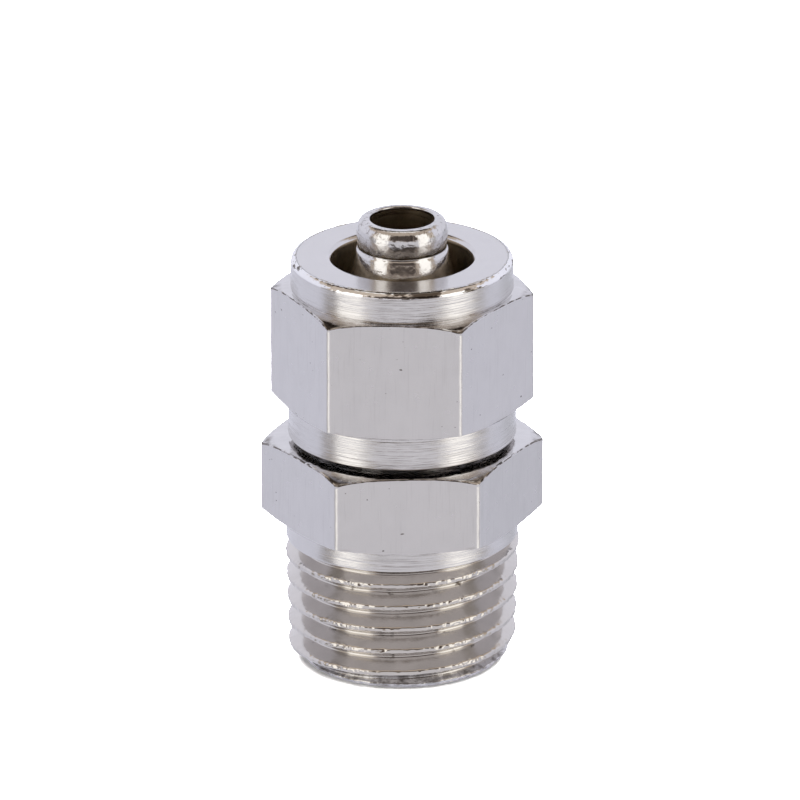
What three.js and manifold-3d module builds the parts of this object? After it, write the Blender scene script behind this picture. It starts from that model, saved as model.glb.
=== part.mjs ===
// Straight male fitting with a union nut, for 8 x 5 mm plastic tube, with an R 1/4 taper thread.
// Two machined pieces: a one-piece body (taper thread, hexagon, nut thread and spigot) and a nut.
// Millimetres, +Z up. The origin is the centre of the flat face at the taper-thread end.
import * as THREE from 'three';
import * as BufferGeometryUtils from 'three/addons/utils/BufferGeometryUtils.js';
import Module from 'manifold-3d';

const wasm = await Module();
wasm.setup();

// ---------------------------------------------------------------- driving dimensions

// Fineness: segments around the axis, and rows along each millimetre of a thread.
const SEGMENTS = 48;
const NUT_THREAD_SEGMENTS = 36;
const TAPER_ROWS_PER_MM = 5.5;
const NUT_THREAD_ROWS_PER_MM = 5;
const CONE_ROWS_PER_MM = 1;

// Taper thread R 1/4: 19 threads per inch, taper 1 in 16 on the diameter, Whitworth form.
const TAPER_PITCH = 25.4 / 19;
const TAPER_GAUGE_RADIUS = 13.157 / 2;
const TAPER_GAUGE_Z = 6.0;
const TAPER_SLOPE = 1 / 32;
const TAPER_DEPTH = 0.64 * TAPER_PITCH;
const TAPER_START_Z = 0.25;
const TAPER_END_Z = 7.2;
const TAPER_RUN_IN = 0.5;
const TAPER_RUN_OUT = 1.2;
// Height at which the thread crest passes the -Y side.
const TAPER_CREST_Z = 5.22;
const END_FACE_RADIUS = 5.48;
const END_CHAMFER_Z = 0.8;
const NECK_RADIUS = 6.58;
const NECK_STEP = 0.15;

// Hexagons: the end cones start inside the flats, and run out past the corners.
const HEX_CONE_INSET = 0.8;
const HEX_CONE_REACH = 2.1;
// How far a turned stretch runs on into the solid that it grows from.
const JOIN = 1;

// Body hexagon.
const BODY_HEX_AF = 14.0;
const BODY_HEX_BOTTOM_Z = 8.64;
const BODY_HEX_TOP_Z = 13.14;
const BODY_HEX_BOTTOM_CHAMFER = 0.26;
const BODY_HEX_TOP_CHAMFER = 0.33;
const BODY_SHOULDER_Z = 13.2;

// Thread for the nut, M10 x 1.
const NUT_THREAD_PITCH = 1.0;
const NUT_THREAD_DEPTH = 0.55;
const NUT_THREAD_RADIUS = 4.93;
const NUT_THREAD_START_Z = 14.3;
const NUT_THREAD_END_Z = 20.2;
const NUT_THREAD_CHAMFER = 0.5;
const NUT_THREAD_RUN = 0.4;
const RELIEF_RADIUS = 4.3;

// Spigot: a hollow-sided cone that flares the tube, a crease, and a bulb that rounds off to a flat lip.
const CONE_SLOPE = 0.2;
const CONE_CURVE = 0.03;
const CONE_TOP_Z = 24.46;
const CONE_TOP_RADIUS = 2.6;
const GROOVE_RADIUS = 2.5;
const GROOVE_Z = 24.58;
const BULB_RADIUS = 2.58;
const BULB_BOTTOM_Z = 25.4;
const BULB_Z = 25.6;
const BULB_STEPS = 5;
const TIP_Z = 26.28;
const LIP_RADIUS = 2.12;

// Passage through the body.
const BORE_RADIUS = 1.82;
const PORT_RADIUS = 3.5;
const PORT_CHAMFER = 0.3;
const PORT_DEPTH = 6.6;
const PORT_CONE_DEPTH = 7.6;

// Union nut.
const NUT_HEX_AF = 13.0;
const NUT_TURN = THREE.MathUtils.degToRad(-6.51);
const NUT_BOTTOM_Z = 13.5;
const NUT_TOP_Z = 24.0;
const NUT_HEX_BOTTOM_Z = 15.37;
const NUT_HEX_TOP_Z = 22.19;
const NUT_HEX_BOTTOM_CHAMFER = 0.3;
const NUT_HEX_TOP_CHAMFER = 0.33;
const LOWER_COLLAR_RADIUS = 6.455;
const UPPER_COLLAR_RADIUS = 6.29;
const COLLAR_CHAMFER = 0.2;
const TUBE_HOLE_RADIUS = 4.0;
const TUBE_HOLE_CHAMFER = 0.17;
const TUBE_HOLE_DEPTH = 2.3;
const NUT_BORE_CLEARANCE = 0.12;
const NUT_BORE_RELIEF = 0.1;

// ---------------------------------------------------------------- shape helpers

function toSolid(geometry) {
  geometry.deleteAttribute('normal');
  geometry.deleteAttribute('uv');
  const merged = BufferGeometryUtils.mergeVertices(geometry);
  const corners = [];
  for (let i = 0; i < merged.index.count; i += 3) {
    const [a, b, c] = [0, 1, 2].map((k) => merged.index.getX(i + k));
    if (a !== b && b !== c && c !== a) corners.push(a, b, c);
  }
  return new wasm.Manifold(
    new wasm.Mesh({
      numProp: 3,
      vertProperties: new Float32Array(merged.attributes.position.array),
      triVerts: new Uint32Array(corners),
    }),
  );
}

// A profile of [radius, z] pairs, from the axis at the bottom to the axis at the top, turned about Z.
function turned(profile, segments = SEGMENTS) {
  const points = profile.map(([radius, z]) => new THREE.Vector2(radius, z));
  const geometry = new THREE.LatheGeometry(points, segments);
  geometry.rotateX(Math.PI / 2);
  return geometry;
}

// A hexagonal prism with two of its flats facing -Y and +Y.
function hexPrism(acrossFlats, bottomZ, topZ) {
  const cornerRadius = acrossFlats / 2 / Math.cos(Math.PI / 6);
  const outline = new THREE.Shape();
  for (let i = 0; i < 6; i += 1) {
    const angle = (i * Math.PI) / 3;
    const x = cornerRadius * Math.cos(angle);
    const y = cornerRadius * Math.sin(angle);
    if (i === 0) outline.moveTo(x, y);
    else outline.lineTo(x, y);
  }
  outline.closePath();
  const geometry = new THREE.ExtrudeGeometry(outline, { depth: topZ - bottomZ, bevelEnabled: false });
  geometry.translate(0, 0, bottomZ);
  return geometry;
}

// A hexagon whose corners are turned down by a shallow cone at each end. bottomZ and topZ are the
// heights in the middle of a flat, and each chamfer is the cone's rise per millimetre of radius.
function chamferedHex({ acrossFlats, bottomZ, topZ, bottomChamfer, topChamfer }) {
  const flat = acrossFlats / 2;
  const inner = flat - HEX_CONE_INSET;
  const outer = flat + HEX_CONE_REACH;
  const cones = turned([
    [0, bottomZ + (inner - flat) * bottomChamfer],
    [inner, bottomZ + (inner - flat) * bottomChamfer],
    [outer, bottomZ + (outer - flat) * bottomChamfer],
    [outer, topZ - (outer - flat) * topChamfer],
    [inner, topZ - (inner - flat) * topChamfer],
    [0, topZ - (inner - flat) * topChamfer],
  ]);
  return toSolid(hexPrism(acrossFlats, bottomZ - JOIN, topZ + JOIN)).intersect(toSolid(cones));
}

// Right-hand thread: sinks each point of a turned surface between startZ and endZ by up to depth,
// in a rounded wave. crestZ is the height of a crest on the -Y side.
function sinkThread(geometry, { pitch, depth, startZ, endZ, crestZ, runIn, runOut }) {
  const position = geometry.attributes.position;
  for (let i = 0; i < position.count; i += 1) {
    const x = position.getX(i);
    const y = position.getY(i);
    const z = position.getZ(i);
    const radius = Math.hypot(x, y);
    if (z <= startZ || z >= endZ || radius < depth * 2) continue;
    const turns = Math.atan2(x, -y) / (2 * Math.PI);
    const wave = 0.5 - 0.5 * Math.cos(2 * Math.PI * ((z - crestZ) / pitch - turns));
    const fade = Math.min(1, (z - startZ) / runIn, (endZ - z) / runOut);
    const scale = (radius - depth * wave * fade) / radius;
    position.setXY(i, x * scale, y * scale);
  }
  return geometry;
}

// Evenly spaced points of a profile from startZ to endZ, with the radius given by a function of z.
function rows(startZ, endZ, rowsPerMm, radiusAt) {
  const count = Math.round((endZ - startZ) * rowsPerMm);
  const points = [];
  for (let i = 0; i <= count; i += 1) {
    const z = startZ + ((endZ - startZ) * i) / count;
    points.push([radiusAt(z), z]);
  }
  return points;
}

function toMesh(solid, name, material) {
  const { vertProperties, triVerts } = solid.getMesh();
  const geometry = new THREE.BufferGeometry();
  geometry.setAttribute('position', new THREE.BufferAttribute(vertProperties, 3));
  geometry.setIndex(new THREE.BufferAttribute(triVerts, 1));
  geometry.computeVertexNormals();
  const mesh = new THREE.Mesh(geometry, material);
  mesh.name = name;
  return mesh;
}

// ---------------------------------------------------------------- body

function coneRadiusAt(z) {
  const depth = CONE_TOP_Z - z;
  return CONE_TOP_RADIUS + CONE_SLOPE * depth + CONE_CURVE * depth ** 2;
}

function taperThreadEnd() {
  const crestRadiusAt = (z) => {
    const crest = TAPER_GAUGE_RADIUS + (z - TAPER_GAUGE_Z) * TAPER_SLOPE;
    const chamfer = END_FACE_RADIUS + ((crest - END_FACE_RADIUS) * z) / END_CHAMFER_Z;
    return Math.min(crest, chamfer);
  };
  const geometry = turned([
    [0, 0],
    ...rows(0, TAPER_END_Z, TAPER_ROWS_PER_MM, crestRadiusAt),
    [NECK_RADIUS, TAPER_END_Z + NECK_STEP],
    [NECK_RADIUS, BODY_HEX_BOTTOM_Z + JOIN],
    [0, BODY_HEX_BOTTOM_Z + JOIN],
  ]);
  return toSolid(
    sinkThread(geometry, {
      pitch: TAPER_PITCH,
      depth: TAPER_DEPTH,
      startZ: TAPER_START_Z,
      endZ: TAPER_END_Z,
      crestZ: TAPER_CREST_Z,
      runIn: TAPER_RUN_IN,
      runOut: TAPER_RUN_OUT,
    }),
  );
}

function bodyHex() {
  const hex = chamferedHex({
    acrossFlats: BODY_HEX_AF,
    bottomZ: BODY_HEX_BOTTOM_Z,
    topZ: BODY_HEX_TOP_Z,
    bottomChamfer: BODY_HEX_BOTTOM_CHAMFER,
    topChamfer: BODY_HEX_TOP_CHAMFER,
  });
  const shoulderCap = turned([
    [0, 0],
    [BODY_HEX_AF, 0],
    [BODY_HEX_AF, BODY_SHOULDER_Z],
    [0, BODY_SHOULDER_Z],
  ]);
  return hex.intersect(toSolid(shoulderCap));
}

function bulbProfile() {
  const points = [[BULB_RADIUS, BULB_BOTTOM_Z]];
  for (let i = 0; i <= BULB_STEPS; i += 1) {
    const angle = (i * Math.PI) / 2 / BULB_STEPS;
    const radius = LIP_RADIUS + (BULB_RADIUS - LIP_RADIUS) * Math.cos(angle);
    points.push([radius, BULB_Z + (TIP_Z - BULB_Z) * Math.sin(angle)]);
  }
  return points;
}

function nutThreadAndSpigot() {
  const bottomZ = BODY_HEX_TOP_Z - JOIN;
  const threadTopZ = NUT_THREAD_END_Z - NUT_THREAD_CHAMFER;
  const geometry = turned(
    [
      [0, bottomZ],
      [RELIEF_RADIUS, bottomZ],
      [RELIEF_RADIUS, NUT_THREAD_START_Z - NUT_THREAD_CHAMFER],
      ...rows(NUT_THREAD_START_Z, threadTopZ, NUT_THREAD_ROWS_PER_MM, () => NUT_THREAD_RADIUS),
      [NUT_THREAD_RADIUS - NUT_THREAD_CHAMFER, NUT_THREAD_END_Z],
      ...rows(NUT_THREAD_END_Z, CONE_TOP_Z, CONE_ROWS_PER_MM, coneRadiusAt),
      [GROOVE_RADIUS, GROOVE_Z],
      ...bulbProfile(),
      [0, TIP_Z],
    ],
    NUT_THREAD_SEGMENTS,
  );
  return toSolid(
    sinkThread(geometry, {
      pitch: NUT_THREAD_PITCH,
      depth: NUT_THREAD_DEPTH,
      startZ: NUT_THREAD_START_Z,
      endZ: NUT_THREAD_END_Z,
      crestZ: NUT_THREAD_START_Z,
      runIn: NUT_THREAD_RUN,
      runOut: NUT_THREAD_RUN,
    }),
  );
}

function passage() {
  return toSolid(
    turned([
      [0, -JOIN],
      [PORT_RADIUS + PORT_CHAMFER, -JOIN],
      [PORT_RADIUS + PORT_CHAMFER, 0],
      [PORT_RADIUS, PORT_CHAMFER],
      [PORT_RADIUS, PORT_DEPTH],
      [BORE_RADIUS, PORT_CONE_DEPTH],
      [BORE_RADIUS, TIP_Z + JOIN],
      [0, TIP_Z + JOIN],
    ]),
  );
}

function maleBody() {
  return taperThreadEnd().add(bodyHex()).add(nutThreadAndSpigot()).subtract(passage());
}

// ---------------------------------------------------------------- union nut

function nutOutside() {
  const hex = chamferedHex({
    acrossFlats: NUT_HEX_AF,
    bottomZ: NUT_HEX_BOTTOM_Z,
    topZ: NUT_HEX_TOP_Z,
    bottomChamfer: NUT_HEX_BOTTOM_CHAMFER,
    topChamfer: NUT_HEX_TOP_CHAMFER,
  });
  const collarStepZ = (NUT_HEX_BOTTOM_Z + NUT_HEX_TOP_Z) / 2;
  const collars = turned([
    [0, NUT_BOTTOM_Z],
    [LOWER_COLLAR_RADIUS - COLLAR_CHAMFER, NUT_BOTTOM_Z],
    [LOWER_COLLAR_RADIUS, NUT_BOTTOM_Z + COLLAR_CHAMFER],
    [LOWER_COLLAR_RADIUS, collarStepZ],
    [UPPER_COLLAR_RADIUS, collarStepZ + JOIN],
    [UPPER_COLLAR_RADIUS, NUT_TOP_Z - COLLAR_CHAMFER],
    [UPPER_COLLAR_RADIUS - COLLAR_CHAMFER, NUT_TOP_Z],
    [0, NUT_TOP_Z],
  ]);
  return hex.add(toSolid(collars));
}

// The nut's own thread is bored clear of the body's thread, so its crests pass the body's crests.
function nutInside() {
  const crestRadius = NUT_THREAD_RADIUS + NUT_BORE_CLEARANCE;
  const rootRadius = crestRadius + NUT_THREAD_DEPTH;
  const mouthRadius = rootRadius + NUT_BORE_RELIEF;
  const threadStart = NUT_BOTTOM_Z + NUT_THREAD_RUN;
  const threadEnd = NUT_THREAD_END_Z + NUT_THREAD_RUN;
  const holeBottomZ = NUT_TOP_Z - TUBE_HOLE_DEPTH;
  const coneBottomZ = holeBottomZ - (crestRadius - TUBE_HOLE_RADIUS);
  const holeMouthRadius = TUBE_HOLE_RADIUS + TUBE_HOLE_CHAMFER;
  const geometry = turned(
    [
      [0, NUT_BOTTOM_Z - JOIN],
      [mouthRadius, NUT_BOTTOM_Z - JOIN],
      [mouthRadius, NUT_BOTTOM_Z],
      ...rows(threadStart, threadEnd, NUT_THREAD_ROWS_PER_MM, () => rootRadius),
      [crestRadius, coneBottomZ],
      [TUBE_HOLE_RADIUS, holeBottomZ],
      [TUBE_HOLE_RADIUS, NUT_TOP_Z - TUBE_HOLE_CHAMFER],
      [holeMouthRadius, NUT_TOP_Z],
      [holeMouthRadius, NUT_TOP_Z + JOIN],
      [0, NUT_TOP_Z + JOIN],
    ],
    NUT_THREAD_SEGMENTS,
  );
  return toSolid(
    sinkThread(geometry, {
      pitch: NUT_THREAD_PITCH,
      depth: NUT_THREAD_DEPTH,
      startZ: NUT_BOTTOM_Z,
      endZ: coneBottomZ,
      crestZ: NUT_THREAD_START_Z,
      runIn: NUT_THREAD_RUN,
      runOut: NUT_THREAD_RUN,
    }),
  );
}

function unionNut() {
  return nutOutside().subtract(nutInside());
}

// ---------------------------------------------------------------- assembly

const bodyPlating = new THREE.MeshStandardMaterial({ color: 0xb8b6b3, roughness: 0.3, metalness: 1 });
const nutPlating = new THREE.MeshStandardMaterial({ color: 0xbbbabb, roughness: 0.28, metalness: 1 });

const fitting = new THREE.Group();
fitting.add(toMesh(maleBody(), 'male_body', bodyPlating));

const nut = toMesh(unionNut(), 'union_nut', nutPlating);
nut.rotation.z = NUT_TURN;
fitting.add(nut);

export default fitting;
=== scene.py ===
"""Looks of the straight male fitting: two nickel-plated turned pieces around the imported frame.

Each real piece is one closed surface: rows of points that run once round the outside and back
through the passage, with one column of points per angle. Sizes below are in millimetres.
"""

import math

import bpy
import numpy as np
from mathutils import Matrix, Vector, noise


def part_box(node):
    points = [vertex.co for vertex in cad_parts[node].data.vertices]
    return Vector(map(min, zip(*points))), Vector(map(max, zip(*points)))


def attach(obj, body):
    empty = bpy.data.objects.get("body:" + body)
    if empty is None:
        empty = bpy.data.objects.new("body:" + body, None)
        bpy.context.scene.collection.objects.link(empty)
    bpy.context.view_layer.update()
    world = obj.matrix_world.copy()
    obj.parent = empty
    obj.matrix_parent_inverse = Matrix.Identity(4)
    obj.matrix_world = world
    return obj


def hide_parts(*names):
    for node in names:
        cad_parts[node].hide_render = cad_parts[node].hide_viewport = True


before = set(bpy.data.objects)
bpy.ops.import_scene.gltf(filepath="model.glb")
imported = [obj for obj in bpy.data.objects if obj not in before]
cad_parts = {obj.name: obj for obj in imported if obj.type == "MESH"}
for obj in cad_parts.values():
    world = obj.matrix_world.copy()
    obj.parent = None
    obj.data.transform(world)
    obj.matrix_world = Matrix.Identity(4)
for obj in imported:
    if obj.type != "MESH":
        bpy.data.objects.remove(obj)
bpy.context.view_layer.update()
MM = 0.001

# ---------------------------------------------------------------- dimensions read from the frame

_, BODY_HIGH = [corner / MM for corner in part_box("male_body")]
NUT_LOW, NUT_HIGH = [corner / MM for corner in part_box("union_nut")]
# Uneven surfaces swing outwards a little, so these stay just inside the CAD box.
TIP_MARGIN = 0.01
FLAT_MARGIN = 0.02
TIP_Z = BODY_HIGH.z - TIP_MARGIN
BODY_FLAT = BODY_HIGH.y - FLAT_MARGIN
NUT_BOTTOM_Z = NUT_LOW.z
NUT_TOP_Z = NUT_HIGH.z

# ---------------------------------------------------------------- the body, as the CAD has it

TAPER = {"pitch": 25.4 / 19, "gauge_radius": 13.157 / 2, "gauge_z": 6.0, "slope": 1 / 32,
         "end_z": 7.2, "crest_z": 5.22}
RUN_OUT = 0.23
RUN_OUT_TILT = 0.11
LEAD_SHARE = 0.075
END_FACE_RADIUS = 5.48
END_CHAMFER_Z = 0.8
END_CHAMFER_RADIUS = 6.42
NECK_RADIUS = 6.58
NECK_START = 0.42
# Cones are (slope, curve) of a hexagon's turned-down ends, and corner is the radius of its edges.
BODY_HEX = {"flat": BODY_FLAT, "bottom": 8.64, "top": 13.14, "bottom_cone": (0.26, 0.0),
            "top_cone": (0.09, 0.24), "corner": 0.42, "turn": 0.0}
SHOULDER_Z = 13.2
SHOULDER_RADIUS = 6.35
NUT_THREAD = {"pitch": 1.0, "depth": 0.55, "radius": 4.93, "start_z": 14.3, "end_z": 20.2,
              "chamfer": 0.5}
RELIEF_RADIUS = 4.3
CONE_TOP_Z = 24.46
CONE_TOP_RADIUS = 2.6
CONE_SLOPE = 0.2
CONE_CURVE = 0.03
GROOVE_RADIUS = 2.5
GROOVE_Z = 24.58
BULB_RADIUS = 2.58
BULB_BOTTOM_Z = 25.4
BULB_Z = 25.6
LIP_RADIUS = 2.12
BORE_RADIUS = 1.82
PORT_RADIUS = 3.5
PORT_DEPTH = 6.6
PORT_CHAMFER = 0.3
PORT_CONE_LENGTH = 1

# ---------------------------------------------------------------- the union nut

NUT_HEX = {"flat": 6.5, "bottom": 15.37, "top": 22.19, "bottom_cone": (0.3, 0.0),
           "top_cone": (0.12, 0.24), "corner": 0.38, "turn": math.radians(-6.51)}
LOWER_COLLAR_RADIUS = 6.455
UPPER_COLLAR_RADIUS = 6.29
TUBE_HOLE_RADIUS = 4.0
TUBE_HOLE_CHAMFER = 0.17
TUBE_HOLE_DEPTH = 2.3
COLLAR_CHAMFER = 0.2
NUT_BORE_RADIUS = 5.05
NUT_CONE_DEPTH = 3.3
NUT_THREAD_DEPTH = 3.35
NUT_MOUTH = 0.65
NUT_MOUTH_Z = 0.35


# ---------------------------------------------------------------- smooth noise over points

# Depth and feature size, in millimetres, of the unevenness on the bands that mirror the studio.
UNEVEN = {
    "body_cone": [(0.014, 0.40), (0.03, 1.3)],
    "nut_cone": [(0.014, 0.40), (0.03, 1.3)],
    "edge": [(0.016, 0.30), (0.02, 0.9)],
    "spigot": [(0.010, 0.26), (0.014, 0.8)],
    "flare": [(0.003, 0.26), (0.016, 1.0)],
}


def wobble(points, size, seed):
    """Smooth noise in -1..1 at each point, with features of about the given size in millimetres."""
    shift = Vector((17.3 * seed, -9.1 * seed, 5.7 * seed))
    flat = points.reshape(-1, 3) / size
    values = [noise.noise(Vector(p) + shift) for p in flat]
    return np.array(values).reshape(points.shape[:-1])


# ---------------------------------------------------------------- grids of rows and columns

def column_angles(turn, per_side=78):
    """Angles round the axis from the +X corner: even steps, and extra ones at each hexagon corner."""
    even = np.linspace(0, 60, per_side + 1)[:-1]
    close = np.array([0.25, 0.5, 0.95, 1.4, 58.6, 59.05, 59.5, 59.75])
    side = np.unique(np.concatenate([even, close]))
    return np.radians(np.concatenate([side + 60 * k for k in range(6)])) + turn


def hex_radius(angles, shape):
    """Distance from the axis to a hexagon with rounded corners, at each angle."""
    flat, rounding = shape["flat"], shape["corner"]
    from_corner = np.mod(angles - shape["turn"] + math.pi / 6, math.pi / 3) - math.pi / 6
    side = flat / np.cos(math.pi / 6 - np.abs(from_corner))
    centre = (flat - rounding) / math.cos(math.pi / 6)
    reach = rounding**2 - (centre * np.sin(from_corner)) ** 2
    arc = centre * np.cos(from_corner) + np.sqrt(np.maximum(reach, 0))
    limit = math.atan2(rounding / 2, centre + rounding * math.cos(math.pi / 6))
    return np.where(np.abs(from_corner) < limit, arc, side)


class Surface:
    """Collects rows of (radius, z) round the axis, each with the material of the band above it."""

    def __init__(self, angles):
        self.angles = angles
        self.rows = []
        self.bands = []

    def row(self, radius, z, material):
        ones = np.ones_like(self.angles)
        self.rows.append((radius * ones, z * ones))
        self.bands.append(material)

    def line(self, start, end, steps, material):
        """Rows along a straight line between two (radius, z) pairs, leaving out the last point."""
        for t in np.linspace(0, 1, steps + 1)[:steps]:
            self.row(start[0] + (end[0] - start[0]) * t, start[1] + (end[1] - start[1]) * t, material)

    def corner(self, before, at, after, size, material, steps=4):
        """A small round in place of the sharp corner at `at`, on the way from before to after."""
        at = [np.asarray(v, float) * np.ones_like(self.angles) for v in at]
        before = [np.asarray(v, float) * np.ones_like(self.angles) for v in before]
        after = [np.asarray(v, float) * np.ones_like(self.angles) for v in after]
        ends = []
        for other in (before, after):
            away = [other[0] - at[0], other[1] - at[1]]
            length = np.hypot(*away)
            ends.append([at[k] + away[k] / length * np.minimum(size, length * 0.45) for k in (0, 1)])
        for t in np.linspace(0, 1, steps + 1):
            weights = (1 - t) ** 2, 2 * t * (1 - t), t**2
            point = [weights[0] * ends[0][k] + weights[1] * at[k] + weights[2] * ends[1][k]
                     for k in (0, 1)]
            self.row(point[0], point[1], material)

    def points(self):
        """All the points, with the small unevenness of the mirror-bright bands pushed outwards."""
        radius = np.array([r for r, _ in self.rows])
        z = np.array([h for _, h in self.rows])
        points = np.stack([radius * np.cos(self.angles), radius * np.sin(self.angles), z], axis=-1)
        for band, layers in UNEVEN.items():
            chosen = [i for i, name in enumerate(self.bands) if name == band]
            if not chosen:
                continue
            height = sum(depth * wobble(points[chosen], size, 5) for depth, size in layers)
            rise = 0.8 * np.ones_like(self.angles)
            outward = np.stack([np.cos(self.angles), np.sin(self.angles), rise], axis=-1)
            points[chosen] += height[..., None] * outward * 0.78
        return points

    def build(self, name, points, materials):
        """One closed mesh: row i joins row i + 1, and the last row joins the first."""
        count, columns = points.shape[:2]
        i, j = np.meshgrid(np.arange(count), np.arange(columns), indexing="ij")
        up, round_on = (i + 1) % count, (j + 1) % columns
        quads = np.stack([i * columns + j, i * columns + round_on,
                          up * columns + round_on, up * columns + j], -1)
        mesh = bpy.data.meshes.new(name)
        mesh.from_pydata((points.reshape(-1, 3) * MM).tolist(), [], quads.reshape(-1, 4).tolist())
        slots = list(materials)
        for key in slots:
            mesh.materials.append(materials[key])
        indices = np.repeat([slots.index(m) for m in self.bands], columns)
        mesh.polygons.foreach_set("material_index", indices.astype(np.int32))
        mesh.polygons.foreach_set("use_smooth", np.ones(len(mesh.polygons), bool))
        mesh.update()
        obj = bpy.data.objects.new(name, mesh)
        bpy.context.scene.collection.objects.link(obj)
        return obj


# ---------------------------------------------------------------- threads

def whitworth_depth(turns, pitch, round_share=0.137):
    """Depth below the crest of a 55 degree thread with rounded crests and roots, in millimetres."""
    away = np.abs(turns - np.round(turns)) * pitch
    rounding = round_share * pitch
    edge = rounding * math.cos(math.radians(27.5))
    slope = 1 / math.tan(math.radians(27.5))
    start = rounding * (1 - math.sin(math.radians(27.5)))
    full = 2 * start + (pitch / 2 - 2 * edge) * slope
    crest = rounding - np.sqrt(np.maximum(rounding**2 - away**2, 0))
    from_root = np.maximum(pitch / 2 - away, 0)
    root = full - (rounding - np.sqrt(np.maximum(rounding**2 - from_root**2, 0)))
    flank = start + (away - edge) * slope
    return np.where(away < edge, crest, np.where(from_root < edge, root, flank))


def helix_turns(angles, z, pitch, crest_z):
    """Turns from the crest of a right-hand thread whose crest passes the -Y side at crest_z."""
    return (z - crest_z) / pitch - (angles + math.pi / 2) / (2 * math.pi)


# ---------------------------------------------------------------- hexagon rows

def cone_drop(radius, shape, end):
    """How far the turned-down end of a hexagon lies below (or above) its mid-flat height."""
    slope, curve = shape[end]
    out = radius - shape["flat"]
    return slope * out + curve * np.maximum(out, 0) ** 2


def hex_rows(surface, shape, start, end, materials, flat_rows=30, edge=0.05):
    """Rows over a hexagon: out along the lower cone, up the flats, and in along the upper cone.

    start and end are the radii where the cones begin and finish. The edges are slightly ragged, and
    the rows at t 0.002 and 0.998 keep smooth shading off the flats."""
    radius = hex_radius(surface.angles, shape)
    low_z = shape["bottom"] + cone_drop(radius, shape, "bottom_cone")
    high_z = shape["top"] - cone_drop(radius, shape, "top_cone")
    outline = np.stack([radius * np.cos(surface.angles), radius * np.sin(surface.angles), high_z],
                       axis=-1)
    high_z = high_z + 0.02 * wobble(outline, 0.5, 7)
    low_z = low_z + 0.02 * wobble(outline, 0.6, 8)
    for t in np.linspace(0, 0.94, 9):
        here = start + (radius - start) * t
        surface.row(here, shape["bottom"] + cone_drop(here, shape, "bottom_cone"), materials["cone"])
    start_z = shape["bottom"] + cone_drop(start, shape, "bottom_cone")
    surface.corner((start, start_z), (radius, low_z), (radius, high_z), 0.03, materials["flat"])
    sharp = radius > shape["flat"] * 1.1
    for t in (0.002, *np.linspace(0, 1, flat_rows + 2)[1:-1], 0.998):
        z = low_z + edge + (high_z - low_z - 2 * edge) * t
        outline[..., 2] = z
        surface.row(radius + 0.012 * sharp * (wobble(outline, 0.5, 9) - 0.5), z, materials["flat"])
    end_z = shape["top"] - cone_drop(end, shape, "top_cone")
    # The round between the flats and the upper cone takes the edge line finish, which paints shade along
    # it.
    surface.corner((radius, low_z), (radius, high_z), (end, end_z), edge, "edge_shade_line")
    for t in np.linspace(0.06, 1, 9):
        here = radius + (end - radius) * t
        surface.row(here, shape["top"] - cone_drop(here, shape, "top_cone"), materials["cone"])


# ---------------------------------------------------------------- the body's surface

def cone_radius(z):
    """The spigot's flare below its groove."""
    depth = CONE_TOP_Z - z
    return CONE_TOP_RADIUS + CONE_SLOPE * depth + CONE_CURVE * depth**2


def taper_thread_rows(surface, step=0.05):
    """The taper thread: full form with torn crests, cut off by the lead chamfer and the run-out."""
    across = np.sin(surface.angles + math.pi / 2)
    reach = TAPER["end_z"] + RUN_OUT
    runout_z = reach + RUN_OUT_TILT * across
    for t in np.arange(0.04, reach, step) / reach:
        z = runout_z * t
        crest = TAPER["gauge_radius"] + (z - TAPER["gauge_z"]) * TAPER["slope"]
        turns = helix_turns(surface.angles, z, TAPER["pitch"], TAPER["crest_z"])
        depth = np.maximum(whitworth_depth(turns, TAPER["pitch"], 0.08) - 0.09, 0)
        points = np.stack([crest * np.cos(surface.angles), crest * np.sin(surface.angles), z],
                          axis=-1)
        torn = np.clip(1 - depth / 0.2, 0, 1)
        burr = 0.06 * wobble(points, 0.2, 1) + 0.04 * wobble(points * (1, 1, 0.4), 0.7, 2)
        waves = 0.012 * wobble(points, 0.8, 3)
        radius = crest - depth + torn * burr + waves
        chamfer = END_FACE_RADIUS + (z / END_CHAMFER_Z) * (END_CHAMFER_RADIUS - END_FACE_RADIUS)
        chamfer = chamfer + waves + burr
        radius = np.minimum(radius, chamfer)
        radius = np.maximum(radius, NECK_RADIUS - 1.6 * (runout_z - z) - np.abs(waves))
        surface.row(np.minimum(radius, crest + 0.03), z, "thread" if t > LEAD_SHARE else "lead")
    surface.corner((NECK_RADIUS - 0.3, runout_z - 0.3), (NECK_RADIUS, runout_z),
                   (NECK_RADIUS, runout_z + 1), 0.04, "turned")


def nut_thread_rows(surface, step=0.05):
    """The fine thread for the union nut, from the relief up to its chamfered start."""
    low, high = NUT_THREAD["start_z"] - NUT_THREAD["chamfer"], NUT_THREAD["end_z"]
    for z in np.arange(low, high, step):
        turns = helix_turns(surface.angles, z, NUT_THREAD["pitch"], NUT_THREAD["start_z"])
        radius = NUT_THREAD["radius"] - 0.86 * whitworth_depth(turns, NUT_THREAD["pitch"])
        top = NUT_THREAD["radius"] - NUT_THREAD["chamfer"] + (high - z)
        bottom = RELIEF_RADIUS + (z - low) * 1.4
        surface.row(np.minimum(np.minimum(radius, top), bottom), z, "turned")


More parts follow.
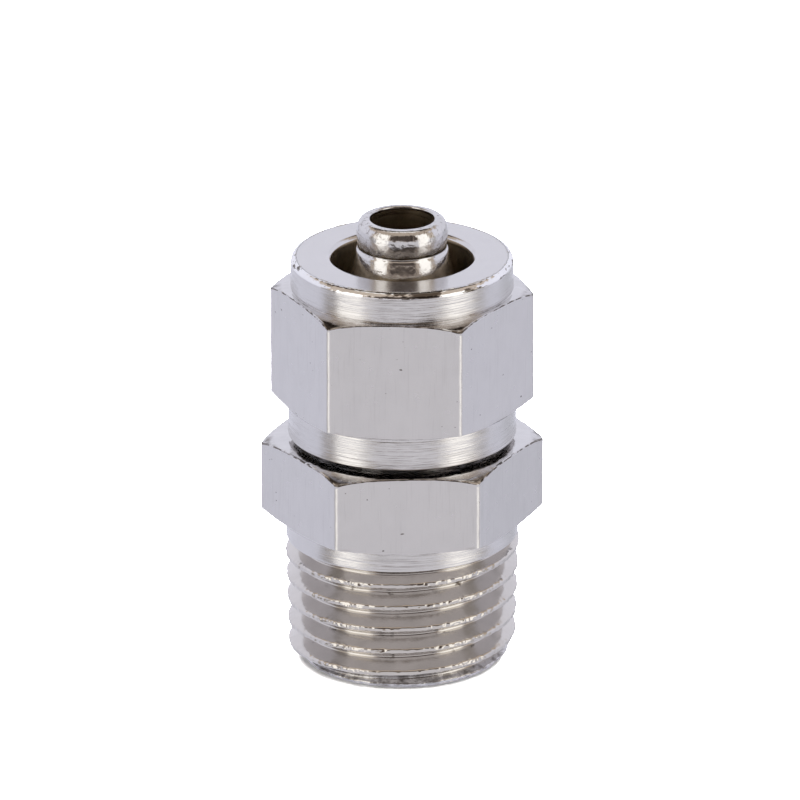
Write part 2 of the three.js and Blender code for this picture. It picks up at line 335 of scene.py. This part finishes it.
def spigot_rows(surface):
    """The flare, a soft crease, then the bulb that rounds over to its lip."""
    for z in np.linspace(NUT_THREAD["end_z"], CONE_TOP_Z - 0.14, 90):
        surface.row(cone_radius(z), z, "flare")
    surface.corner((cone_radius(CONE_TOP_Z - 0.2), CONE_TOP_Z - 0.2), (CONE_TOP_RADIUS, CONE_TOP_Z),
                   (GROOVE_RADIUS, GROOVE_Z), 0.12, "flare")
    surface.corner((CONE_TOP_RADIUS, CONE_TOP_Z), (GROOVE_RADIUS, GROOVE_Z),
                   (BULB_RADIUS, BULB_BOTTOM_Z), 0.08, "spigot")
    surface.line((GROOVE_RADIUS + 0.012, GROOVE_Z + 0.1), (BULB_RADIUS, BULB_BOTTOM_Z), 8, "spigot")
    surface.line((BULB_RADIUS, BULB_BOTTOM_Z + 0.05), (BULB_RADIUS, BULB_Z), 8, "spigot")
    for angle in np.radians(np.linspace(0, 82, 22)):
        radius = LIP_RADIUS + (BULB_RADIUS - LIP_RADIUS) * math.cos(angle)
        surface.row(radius, BULB_Z + (TIP_Z - BULB_Z) * math.sin(angle), "spigot")
    surface.corner((LIP_RADIUS + 0.06, TIP_Z), (BORE_RADIUS, TIP_Z), (BORE_RADIUS, TIP_Z - 1), 0.1,
                   "spigot")


def body_surface(materials):
    surface = Surface(column_angles(BODY_HEX["turn"]))
    surface.line((PORT_RADIUS + PORT_CHAMFER, 0.0), (END_FACE_RADIUS - 0.06, 0.0), 8, "faced")
    surface.corner((PORT_RADIUS, 0.0), (END_FACE_RADIUS, 0.0), (END_FACE_RADIUS + 1, 1.0), 0.05,
                   "faced")
    taper_thread_rows(surface)
    neck_top = BODY_HEX["bottom"] + cone_drop(NECK_RADIUS, BODY_HEX, "bottom_cone") - 0.02
    surface.line((NECK_RADIUS, TAPER["end_z"] + NECK_START), (NECK_RADIUS, neck_top), 12, "turned")
    hex_rows(surface, BODY_HEX, NECK_RADIUS, SHOULDER_RADIUS,
             {"cone": "body_cone", "flat": "drawn"})
    surface.line((SHOULDER_RADIUS - 0.02, SHOULDER_Z), (RELIEF_RADIUS, SHOULDER_Z), 12, "faced")
    surface.line((RELIEF_RADIUS, SHOULDER_Z), (RELIEF_RADIUS, NUT_THREAD["start_z"] - 0.55), 4, "turned")
    nut_thread_rows(surface)
    surface.line((NUT_THREAD["radius"] - NUT_THREAD["chamfer"], NUT_THREAD["end_z"]),
                 (cone_radius(NUT_THREAD["end_z"]), NUT_THREAD["end_z"]), 3, "turned")
    spigot_rows(surface)
    passage_end = (BORE_RADIUS, PORT_DEPTH + PORT_CONE_LENGTH)
    surface.line((BORE_RADIUS, TIP_Z - 0.2), passage_end, 40, "bore")
    surface.line(passage_end, (PORT_RADIUS, PORT_DEPTH), 4, "bore")
    surface.line((PORT_RADIUS, PORT_DEPTH), (PORT_RADIUS, PORT_CHAMFER), 12, "bore")
    surface.line((PORT_RADIUS, PORT_CHAMFER), (PORT_RADIUS + PORT_CHAMFER, 0.0), 3, "turned")
    return surface.build("male_body_looks", surface.points(), materials)


# ---------------------------------------------------------------- the nut's surface

def nut_surface(materials):
    surface = Surface(column_angles(NUT_HEX["turn"]))
    mouth = NUT_BORE_RADIUS + NUT_MOUTH
    surface.line((mouth, NUT_BOTTOM_Z), (LOWER_COLLAR_RADIUS - 0.25, NUT_BOTTOM_Z), 6, "faced")
    surface.corner((mouth, NUT_BOTTOM_Z), (LOWER_COLLAR_RADIUS, NUT_BOTTOM_Z),
                   (LOWER_COLLAR_RADIUS, NUT_TOP_Z), 0.05, "turned", 6)
    low = NUT_HEX["bottom"] + cone_drop(LOWER_COLLAR_RADIUS, NUT_HEX, "bottom_cone")
    surface.line((LOWER_COLLAR_RADIUS, NUT_BOTTOM_Z + 0.06), (LOWER_COLLAR_RADIUS, low - 0.02), 16,
                 "turned")
    hex_rows(surface, NUT_HEX, LOWER_COLLAR_RADIUS - 0.03, UPPER_COLLAR_RADIUS - 0.03,
             {"cone": "nut_cone", "flat": "drawn"}, 45)
    # The band where the upper cone meets the upper collar takes the same finish: a painted shade line in
    # the crease.
    surface.bands[-1] = "edge_shade_line"
    high = NUT_HEX["top"] - cone_drop(UPPER_COLLAR_RADIUS, NUT_HEX, "top_cone")
    surface.line((UPPER_COLLAR_RADIUS, high + 0.03), (UPPER_COLLAR_RADIUS, NUT_TOP_Z - 0.25), 10,
                 "turned")
    chamfer_foot = (UPPER_COLLAR_RADIUS, NUT_TOP_Z - COLLAR_CHAMFER)
    rim = (UPPER_COLLAR_RADIUS - COLLAR_CHAMFER, NUT_TOP_Z)
    surface.corner((UPPER_COLLAR_RADIUS, high), chamfer_foot, rim, 0.1, "edge")
    surface.corner(chamfer_foot, rim, (0, NUT_TOP_Z), 0.1, "edge")
    hole_mouth = TUBE_HOLE_RADIUS + TUBE_HOLE_CHAMFER
    surface.line((UPPER_COLLAR_RADIUS - 0.27, NUT_TOP_Z), (hole_mouth, NUT_TOP_Z), 14, "faced")
    hole_edge = (TUBE_HOLE_RADIUS, NUT_TOP_Z - TUBE_HOLE_CHAMFER)
    hole_end = (TUBE_HOLE_RADIUS, NUT_TOP_Z - TUBE_HOLE_DEPTH)
    surface.line((hole_mouth, NUT_TOP_Z), hole_edge, 3, "flare")
    surface.line(hole_edge, hole_end, 10, "bore")
    surface.line(hole_end, (NUT_BORE_RADIUS, NUT_TOP_Z - NUT_CONE_DEPTH), 4, "bore")
    for z in np.arange(NUT_TOP_Z - NUT_THREAD_DEPTH, NUT_BOTTOM_Z + NUT_MOUTH_Z, -0.06):
        turns = helix_turns(surface.angles, z, NUT_THREAD["pitch"], NUT_THREAD["start_z"])
        fade = np.clip(min(NUT_TOP_Z - NUT_THREAD_DEPTH - z, z - NUT_BOTTOM_Z) / 0.4, 0, 1)
        depth = 0.86 * whitworth_depth(turns, NUT_THREAD["pitch"])
        surface.row(NUT_BORE_RADIUS + fade * (NUT_THREAD["depth"] - depth), z, "bore")
    surface.line((NUT_BORE_RADIUS + NUT_MOUTH_Z, NUT_BOTTOM_Z + NUT_MOUTH_Z),
                 (mouth, NUT_BOTTOM_Z), 3, "bore")
    return surface.build("union_nut_looks", surface.points(), materials)


# ---------------------------------------------------------------- materials

class Nodes:
    """Short calls that add and join shader nodes in one material."""

    def __init__(self, tree):
        self.tree = tree
        self.tree.nodes.clear()

    def add(self, kind, inputs=None, **settings):
        node = self.tree.nodes.new(kind)
        for key, value in settings.items():
            setattr(node, key, value)
        for key, value in (inputs or {}).items():
            if isinstance(value, bpy.types.NodeSocket):
                self.tree.links.new(value, node.inputs[key])
            else:
                node.inputs[key].default_value = value
        return node

    def math(self, operation, a, b=0.0, c=0.0):
        return self.add("ShaderNodeMath", {0: a, 1: b, 2: c}, operation=operation).outputs[0]

    def ramp(self, value, low, high, to_low=0.0, to_high=1.0):
        inputs = {"Value": value, "From Min": low, "From Max": high,
                  "To Min": to_low, "To Max": to_high}
        return self.add("ShaderNodeMapRange", inputs, interpolation_type="SMOOTHSTEP").outputs[0]

    def mix(self, factor, a, b):
        mixer = self.add("ShaderNodeMix", data_type="RGBA")
        for key, value in ((0, factor), (6, a), (7, b)):
            if isinstance(value, bpy.types.NodeSocket):
                self.tree.links.new(value, mixer.inputs[key])
            else:
                mixer.inputs[key].default_value = value
        return mixer.outputs[2]

    def place(self, scale):
        """Object coordinates in millimetres, stretched by a scale for each axis."""
        source = self.add("ShaderNodeTexCoord").outputs["Object"]
        factors = [s / MM for s in scale]
        return self.add("ShaderNodeVectorMath", {0: source, 1: factors}, operation="MULTIPLY").outputs[0]

    def noise(self, vector, scale=1.0, detail=3.0, roughness=0.55):
        inputs = {"Vector": vector, "Scale": scale, "Detail": detail, "Roughness": roughness}
        return self.add("ShaderNodeTexNoise", inputs).outputs["Fac"]


NICKEL = (0.66, 0.645, 0.64, 1)
# A warmer, darker copy of the nickel that paints the warm reflection on the thread's flanks.
WARM_REFLECTION_NICKEL = (0.625, 0.595, 0.565, 1)
# A brighter copy of the nickel that paints a highlight on the nut's top edge.
HIGHLIGHT_NICKEL = (0.86, 0.85, 0.85, 1)
BRASS = (0.46, 0.38, 0.27, 1)
# Dark colour for real pits, specks and blots, and for painted shade and painted reflections.
DIRT_AND_SHADE = (0.10, 0.08, 0.065, 1)


def radial(nodes):
    """Distance from the axis, in millimetres."""
    place = nodes.add("ShaderNodeSeparateXYZ", {0: nodes.place((1, 1, 1))})
    squares = [nodes.math("POWER", place.outputs[k], 2.0) for k in (0, 1)]
    return nodes.math("SQRT", nodes.math("ADD", squares[0], squares[1]))


def metal(name, colour, stain, roughness, marks, bump, dirt_and_shade=None):
    """Plated metal. marks(nodes) gives the tool marks' height, stain how far the tint wanders, and the
    last
    argument where it is dark: real pits and specks on some finishes, painted shade and reflections on
    others."""
    material = bpy.data.materials.new(name)
    material.use_nodes = True
    nodes = Nodes(material.node_tree)
    blotch = nodes.noise(nodes.place((0.9, 0.9, 0.7)), 1.0, 4.0)
    darker = tuple(c * (1 - stain) for c in colour[:3]) + (1,)
    tint = nodes.mix(nodes.ramp(blotch, 0.35, 0.7), colour, darker)
    if dirt_and_shade:
        tint = nodes.mix(dirt_and_shade(nodes), tint, DIRT_AND_SHADE)
    height = marks(nodes)
    rough = nodes.ramp(height, 0.3, 0.7, roughness[0], roughness[1])
    depth = {"Strength": bump[0], "Distance": bump[1] * MM, "Height": height}
    normal = nodes.add("ShaderNodeBump", depth)
    shader = nodes.add("ShaderNodeBsdfPrincipled", {
        "Base Color": tint, "Metallic": 1.0, "Roughness": rough, "Normal": normal.outputs[0]})
    nodes.add("ShaderNodeOutputMaterial", {"Surface": shader.outputs[0]})
    return material


def pits(nodes):
    """Sparse dark specks, and fainter short lines."""
    specks = nodes.ramp(nodes.noise(nodes.place((2.4, 2.4, 4.0)), 1.0, 1.0), 0.195, 0.23, 0.75, 0.0)
    lines = nodes.ramp(nodes.noise(nodes.place((7.0, 7.0, 0.35)), 1.0, 2.0), 0.30, 0.44, 0.05, 0.0)
    return nodes.math("MAXIMUM", specks, lines)


def corner_dark_reflections(shape):
    """Painted dark reflections and shade on the turned-down ends of a hexagon, towards its corners."""
    def dirt_and_shade(nodes):
        near = nodes.ramp(radial(nodes), shape["flat"] + 0.2, shape["flat"] + 0.75, 0.0, 0.85)
        patch = nodes.ramp(nodes.noise(nodes.place((1.3, 1.3, 1.3)), 1.0, 3.0), 0.38, 0.58, 0.15, 1.0)
        return nodes.math("MULTIPLY", near, patch)
    return dirt_and_shade


def broken_shade_line(nodes):
    """Painted shade: dark stretches along the edge between a flat and its turned-down end."""
    return nodes.ramp(nodes.noise(nodes.place((2.2, 2.2, 2.2)), 1.0, 3.0), 0.42, 0.56, 0.1, 0.9)


def scattered(nodes):
    """Dark blots on the thread's lead chamfer."""
    return nodes.ramp(nodes.noise(nodes.place((1.6, 1.6, 1.6)), 1.0, 4.0, 0.7), 0.38, 0.58, 0.65, 0.1)


def dark_reflection_patches(nodes):
    """Long dark stretches round the nut's top edge: painted dark reflections."""
    return nodes.ramp(nodes.noise(nodes.place((0.42, 0.42, 1.5)), 1.0, 4.0, 0.65), 0.55, 0.60, 0.0, 0.95)


def speckle(nodes):
    """Fine grey mottling, as on a surface plated over a rough turning."""
    return nodes.ramp(nodes.noise(nodes.place((4.2, 4.2, 3.0)), 1.0, 4.0, 0.7), 0.54, 0.66, 0.0, 0.5)


def root_shade_patches(nodes):
    """Painted shade that gathers in patches at the bottom of the taper thread."""
    z = nodes.add("ShaderNodeSeparateXYZ", {0: nodes.place((1, 1, 1))}).outputs[2]
    crest_at_zero = TAPER["gauge_radius"] - TAPER["gauge_z"] * TAPER["slope"]
    crest = nodes.math("MULTIPLY_ADD", z, TAPER["slope"], crest_at_zero)
    depth = nodes.math("SUBTRACT", crest, radial(nodes))
    shade_clumps = nodes.ramp(nodes.noise(nodes.place((1.2, 1.2, 2.0)), 1.0, 4.0), 0.60, 0.74, 0.0, 1.0)
    return nodes.math("MULTIPLY", nodes.ramp(depth, 0.66, 0.88), shade_clumps)


def drawn_marks(nodes):
    along = nodes.noise(nodes.place((4.0, 4.0, 0.2)), 1.0, 4.0)
    grain = nodes.noise(nodes.place((14, 14, 14)), 1.0, 2.0)
    pocks = nodes.ramp(nodes.noise(nodes.place((2.6, 2.6, 2.6)), 1.0, 1.0), 0.24, 0.3)
    fine = nodes.math("ADD", nodes.math("MULTIPLY", along, 0.6), nodes.math("MULTIPLY", grain, 0.2))
    return nodes.math("ADD", fine, nodes.math("MULTIPLY", pocks, 0.6))


def turned_marks(nodes):
    fine = nodes.noise(nodes.place((0.12, 0.12, 7.0)), 1.0, 3.0, 0.75)
    coarse = nodes.noise(nodes.place((0.08, 0.08, 1.8)), 1.0, 2.0)
    return nodes.math("ADD", nodes.math("MULTIPLY", fine, 0.7), nodes.math("MULTIPLY", coarse, 0.3))


def faced_marks(nodes):
    rings = nodes.add("ShaderNodeCombineXYZ", {0: nodes.math("MULTIPLY", radial(nodes), 6.0)}).outputs[0]
    return nodes.noise(rings, 1.0, 3.0, 0.6)


def thread_marks(nodes):
    along = nodes.noise(nodes.place((0.5, 0.5, 5.0)), 1.0, 2.0)
    grain = nodes.noise(nodes.place((5, 5, 5)), 1.0, 3.0)
    return nodes.math("ADD", nodes.math("MULTIPLY", along, 0.7), nodes.math("MULTIPLY", grain, 0.3))


def bright_marks(nodes):
    return nodes.noise(nodes.place((5, 5, 5)), 1.0, 4.0)


def finishes():
    return {
        "drawn": metal("drawn_nickel", NICKEL, 0.03, (0.24, 0.30), drawn_marks, (0.4, 0.008), pits),
        "turned": metal("turned_nickel", NICKEL, 0.03, (0.14, 0.24), turned_marks, (1.0, 0.06)),
        "faced": metal("faced_nickel", NICKEL, 0.02, (0.18, 0.24), faced_marks, (0.2, 0.006)),
        # The turned-down ends carry painted dark reflections and shade near the hexagon corners.
        "body_cone": metal("body_cone_nickel", NICKEL, 0.06, (0.05, 0.12), bright_marks, (0.4, 0.012),
                           corner_dark_reflections(BODY_HEX)),
        "nut_cone": metal("nut_cone_nickel", NICKEL, 0.06, (0.05, 0.12), bright_marks, (0.4, 0.012),
                          corner_dark_reflections(NUT_HEX)),
        # Painted shade in broken dark stretches along hexagon edges and creases.
        "edge_shade_line": metal("edge_shade_line", NICKEL, 0.06, (0.05, 0.12), bright_marks, (0.4, 0.012),
                           broken_shade_line),
        "lead": metal("lead_nickel", NICKEL, 0.10, (0.12, 0.22), bright_marks, (0.6, 0.02),
                      scattered),
        # The thread's warmer nickel is a painted warm reflection, and its roots take patches of painted
        # shade.
        "thread": metal("thread_nickel", WARM_REFLECTION_NICKEL, 0.06, (0.11, 0.18), thread_marks,
                        (0.5, 0.012), root_shade_patches),
        # The nut's top edge: brighter nickel as a painted highlight, with long stretches of painted dark
        # reflections.
        "edge": metal("torn_edge_painted_reflections", HIGHLIGHT_NICKEL, 0.04, (0.06, 0.14), bright_marks, (0.4, 0.015),
                      dark_reflection_patches),
        "spigot": metal("spigot_nickel", NICKEL, 0.10, (0.07, 0.15), bright_marks, (0.6, 0.02),
                         speckle),
        "flare": metal("flare_nickel", NICKEL, 0.10, (0.05, 0.12), bright_marks, (0.5, 0.015)),
        "bore": metal("bore_brass", BRASS, 0.3, (0.25, 0.45), turned_marks, (0.5, 0.03)),
    }


# ---------------------------------------------------------------- studio

CAMERA_DISTANCE = 897 * MM
CAMERA_ELEVATION = math.radians(21.1)
CAMERA_TURN = math.radians(-2.45)
CAMERA_LENS = 714.2
AIM = Vector((-0.12, 0.0, 15.27)) * MM


def make_camera():
    data = bpy.data.cameras.new("camera")
    data.lens = CAMERA_LENS
    data.clip_end = 10.0
    camera = bpy.data.objects.new("camera", data)
    back = Vector((math.sin(CAMERA_TURN) * math.cos(CAMERA_ELEVATION),
                   -math.cos(CAMERA_TURN) * math.cos(CAMERA_ELEVATION), math.sin(CAMERA_ELEVATION)))
    camera.location = AIM + back * CAMERA_DISTANCE
    camera.rotation_mode = "QUATERNION"
    camera.rotation_quaternion = (-back).to_track_quat("-Z", "Y")
    bpy.context.scene.collection.objects.link(camera)
    bpy.context.scene.camera = camera


# Cards of light round the object: azimuth from the front (-Y), positive towards +X, and elevation,
# both in degrees with half widths, then the softness of their edges and their colour.
CARDS = [
    {"azimuth": (0, 180), "elevation": (-48, 45), "soft": 4, "colour": (0.82, 0.81, 0.86)},
    {"azimuth": (180, 95), "elevation": (-48, 46), "soft": 8, "colour": (0.80, 0.81, 0.92)},
    {"azimuth": (180, 95), "elevation": (18, 21), "soft": 6, "colour": (0.92, 0.93, 1.04)},
    {"azimuth": (0, 34), "elevation": (24, 24), "soft": 6, "colour": (0.10, 0.08, 0.07)},
    {"azimuth": (180, 75), "elevation": (76, 9), "soft": 6, "colour": (1.15, 1.12, 1.08)},
    {"azimuth": (180, 58), "elevation": (57, 8), "soft": 4, "colour": (0.16, 0.13, 0.11)},
    {"azimuth": (180, 30), "elevation": (52, 10), "soft": 3, "colour": (0.04, 0.03, 0.025)},
    {"azimuth": (-56, 15), "elevation": (8, 34), "soft": 6, "colour": (1.6, 1.57, 1.5)},
    {"azimuth": (56, 15), "elevation": (8, 34), "soft": 6, "colour": (1.6, 1.57, 1.5)},
    {"azimuth": (137, 16), "elevation": (-32, 26), "soft": 8, "colour": (0.64, 0.65, 0.72)},
    {"azimuth": (-82, 9), "elevation": (-18, 16), "soft": 5, "colour": (0.42, 0.40, 0.40)},
    {"azimuth": (84, 7), "elevation": (-18, 16), "soft": 5, "colour": (0.55, 0.53, 0.53)},
]
CEILING = (0.59, 0.50, 0.42, 1)
WHITE = (1.0, 1.0, 1.0, 1)
FLOOR_HALF_WIDTH = 3.0
FLOOR_LEVEL = -0.05 * MM
FLOOR_COLOUR = (0.9, 0.9, 0.9, 1)
FLOOR_LIGHT_WIDTH = 1.2
FLOOR_LIGHT_HEIGHT = 0.8
FLOOR_LIGHT_POWER = 90.0


def make_world():
    world = bpy.data.worlds.new("studio")
    world.use_nodes = True
    bpy.context.scene.world = world
    nodes = Nodes(world.node_tree)
    direction = nodes.add("ShaderNodeTexCoord").outputs["Generated"]
    place = nodes.add("ShaderNodeSeparateXYZ", {0: direction})
    backwards = nodes.math("MULTIPLY", place.outputs[1], -1.0)
    azimuth = nodes.math("DEGREES", nodes.math("ARCTAN2", place.outputs[0], backwards))
    elevation = nodes.math("DEGREES", nodes.math("ARCSINE", place.outputs[2]))
    colour = CEILING
    for card in CARDS:
        centre, half = card["azimuth"]
        soft = card["soft"]
        turned = nodes.math("SUBTRACT", azimuth, float(centre))
        offset = nodes.math("ABSOLUTE", nodes.math("WRAP", turned, 180.0, -180.0))
        inside = nodes.ramp(offset, half - soft / 2, half + soft / 2, 1.0, 0.0)
        middle, reach = card["elevation"]
        height = nodes.math("ABSOLUTE", nodes.math("SUBTRACT", elevation, float(middle)))
        within = nodes.ramp(height, reach - soft / 2, reach + soft / 2, 1.0, 0.0)
        mask = within if half >= 180 else nodes.math("MULTIPLY", inside, within)
        colour = nodes.mix(mask, colour, (*card["colour"], 1))
    seen = nodes.add("ShaderNodeLightPath").outputs["Is Camera Ray"]
    shown = nodes.mix(seen, colour, WHITE)
    background = nodes.add("ShaderNodeBackground", {"Color": shown, "Strength": 1.0})
    nodes.add("ShaderNodeOutputWorld", {"Surface": background.outputs[0]})


def make_floor():
    """A plain pale floor, a little lower than the end face so that the two don't share a plane."""
    mesh = bpy.data.meshes.new("floor")
    corners = [(x * FLOOR_HALF_WIDTH, y * FLOOR_HALF_WIDTH, FLOOR_LEVEL)
               for x, y in ((-1, -1), (1, -1), (1, 1), (-1, 1))]
    mesh.from_pydata(corners, [], [(0, 1, 2, 3)])
    floor = bpy.data.objects.new("floor", mesh)
    bpy.context.scene.collection.objects.link(floor)
    material = bpy.data.materials.new("pale_floor")
    material.use_nodes = True
    nodes = Nodes(material.node_tree)
    diffuse = nodes.add("ShaderNodeBsdfDiffuse", {"Color": FLOOR_COLOUR})
    nodes.add("ShaderNodeOutputMaterial", {"Surface": diffuse.outputs[0]})
    mesh.materials.append(material)
    floor.visible_glossy = False


def make_floor_light():
    """A wide soft light from above that whitens the floor."""
    data = bpy.data.lights.new("floor_light", "AREA")
    data.size = FLOOR_LIGHT_WIDTH
    data.energy = FLOOR_LIGHT_POWER
    light = bpy.data.objects.new("floor_light", data)
    light.location = (0, 0, FLOOR_LIGHT_HEIGHT)
    light.visible_glossy = False
    bpy.context.scene.collection.objects.link(light)


# ---------------------------------------------------------------- assembly

materials = finishes()

body = body_surface(materials)
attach(body, "fitting_body")
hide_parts("male_body")

nut = nut_surface(materials)
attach(nut, "nut")
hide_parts("union_nut")

make_camera()
make_world()
make_floor()
make_floor_light()
bpy.context.scene.view_settings.view_transform = "Standard"
